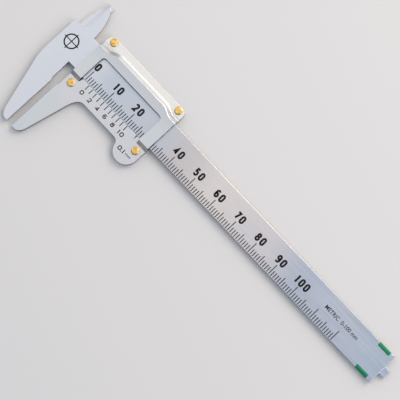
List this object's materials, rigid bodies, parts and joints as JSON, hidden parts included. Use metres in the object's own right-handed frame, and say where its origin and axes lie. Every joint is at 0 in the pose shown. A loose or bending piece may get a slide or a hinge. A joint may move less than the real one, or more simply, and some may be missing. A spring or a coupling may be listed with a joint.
{
  "type": "vernier caliper",
  "caption": "Sheet-metal pocket vernier caliper: a slider with outside and inside jaws and a depth rod runs on a graduated beam with an end stop.",
  "frame": {"origin": "middle of the whole caliper seen from above, at rest, on the surface it lies on", "axes": "+X along the beam from the fixed jaw to the end stop, +Y from the outside jaws to the inside jaws, +Z out of the graduated face"},
  "size_m": [0.1592, 0.0526, 0.0035],
  "materials": {
    "stainless": "satin",
    "brass": "satin",
    "spring_bronze": "satin",
    "green_plastic": "moulded"
  },
  "bodies": {
    "beam": {"beam_with_fixed_jaw": "stainless", "end_stop_clip": "green_plastic"},
    "slider": {"slider_front_plate": "stainless", "slider_back_plate": "stainless", "depth_rod": "stainless", "leaf_spring": "spring_bronze", "rivet_upper_near": "brass", "rivet_upper_far": "brass", "rivet_lower_near": "brass", "rivet_lower_far": "brass", "depth_rod_pin_1": "stainless", "depth_rod_pin_2": "stainless"}
  },
  "joints": [
    {"name": "slider_travel", "type": "slide", "parent": "beam", "child": "slider", "axis": [1, 0, 0], "range_m": [-0.0024, 0.1001]}
  ]
}
